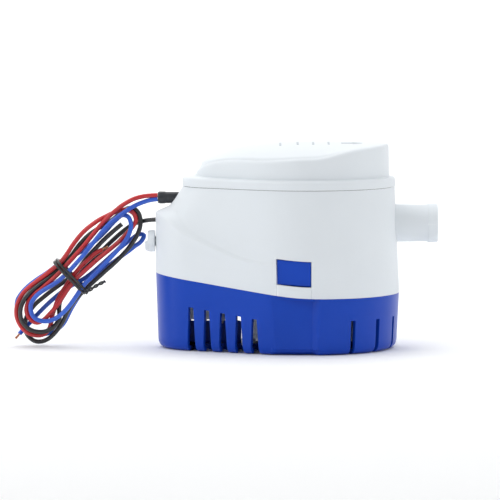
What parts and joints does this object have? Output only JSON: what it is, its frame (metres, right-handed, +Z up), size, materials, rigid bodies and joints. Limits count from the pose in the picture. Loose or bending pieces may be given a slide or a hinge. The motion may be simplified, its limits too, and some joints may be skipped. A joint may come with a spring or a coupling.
{
  "type": "bilge pump",
  "caption": "Submersible bilge pump with a snap-off strainer base, domed lid, hose spigot, built-in float switch with test knob, and a tied bundle of three wires.",
  "frame": {"origin": "on the motor axis, on the underside of the strainer base", "axes": "+X along the hose outlet, +Z up along the motor axis, the nose with the knob and wires points to -X"},
  "size_m": [0.2212, 0.0986, 0.1073],
  "materials": {
    "white_plastic": "gloss",
    "blue_plastic": "gloss",
    "grey_plastic": "satin",
    "black_plastic": "satin",
    "black_rubber": "satin",
    "zinc_steel": "satin",
    "laminated_steel": "satin",
    "ferrite": "matte",
    "carbon": "matte",
    "copper_wire": "gloss",
    "brass_parts": "satin",
    "float_foam": "matte",
    "board_green": "satin",
    "reed_glass": "gloss",
    "ceramic_orange": "satin",
    "wire_red": "satin",
    "wire_blue": "satin",
    "wire_black": "satin",
    "sleeve_black": "satin",
    "tie_black": "gloss"
  },
  "bodies": {
    "casing": {"strainer_base": "blue_plastic", "housing": "white_plastic", "outlet_elbow": "white_plastic", "top_cover": "white_plastic", "cover_seal": "black_rubber", "volute_casing": "white_plastic", "volute_cover": "grey_plastic", "volute_screws": "zinc_steel", "riser_seal": "black_rubber", "motor_can": "zinc_steel", "motor_end_cap": "black_plastic", "motor_magnets": "ferrite", "motor_bush_lower": "brass_parts", "motor_bush_upper": "brass_parts", "motor_brushes": "carbon", "brush_springs": "copper_wire", "shaft_seal": "black_rubber", "float_cage": "white_plastic", "cage_screws": "zinc_steel", "knob_seal": "black_rubber", "switch_board": "board_green", "board_screws": "zinc_steel", "reed_switch": "reed_glass", "capacitors": "ceramic_orange", "inner_leads": "wire_red", "cable_sleeve": "sleeve_black", "wire_grommet": "black_rubber", "red_lead": "wire_red", "blue_lead": "wire_blue", "black_lead": "wire_black", "wire_hank": "wire_black", "twist_tie": "tie_black"},
    "rotor": {"motor_shaft": "zinc_steel", "armature_core": "laminated_steel", "armature_windings": "copper_wire", "commutator": "copper_wire", "impeller": "blue_plastic"},
    "float_unit": {"float": "float_foam", "float_magnet": "ferrite"},
    "knob_unit": {"test_knob": "white_plastic", "knob_crank": "grey_plastic"},
    "latch_front": {"lock_tab_front": "blue_plastic"},
    "latch_rear": {"lock_tab_rear": "blue_plastic"}
  },
  "joints": [
    {"name": "rotor_spin", "type": "hinge", "parent": "casing", "child": "rotor", "pos_m": [0, 0, 0.045], "axis": [0, 0, 1], "continuous": true},
    {"name": "test_knob_turn", "type": "hinge", "parent": "casing", "child": "knob_unit", "pos_m": [-0.078, 0, 0.0552], "axis": [-1, 0, 0], "range_deg": [0, 60]},
    {"name": "float_rise", "type": "slide", "parent": "casing", "child": "float_unit", "axis": [0, 0, 1], "range_m": [0, 0.008]},
    {"name": "latch_front_press", "type": "hinge", "parent": "casing", "child": "latch_front", "pos_m": [-0.006, -0.0424, 0.022], "axis": [-1, 0, 0], "range_deg": [0, 7], "stiffness_Nm_per_rad": 0.6},
    {"name": "latch_rear_press", "type": "hinge", "parent": "casing", "child": "latch_rear", "pos_m": [-0.006, 0.0424, 0.022], "axis": [1, 0, 0], "range_deg": [0, 7], "stiffness_Nm_per_rad": 0.6}
  ],
  "couplings": [
    {"joint": "test_knob_turn", "follows": "float_rise", "rad_per_m": 130.9}
  ]
}
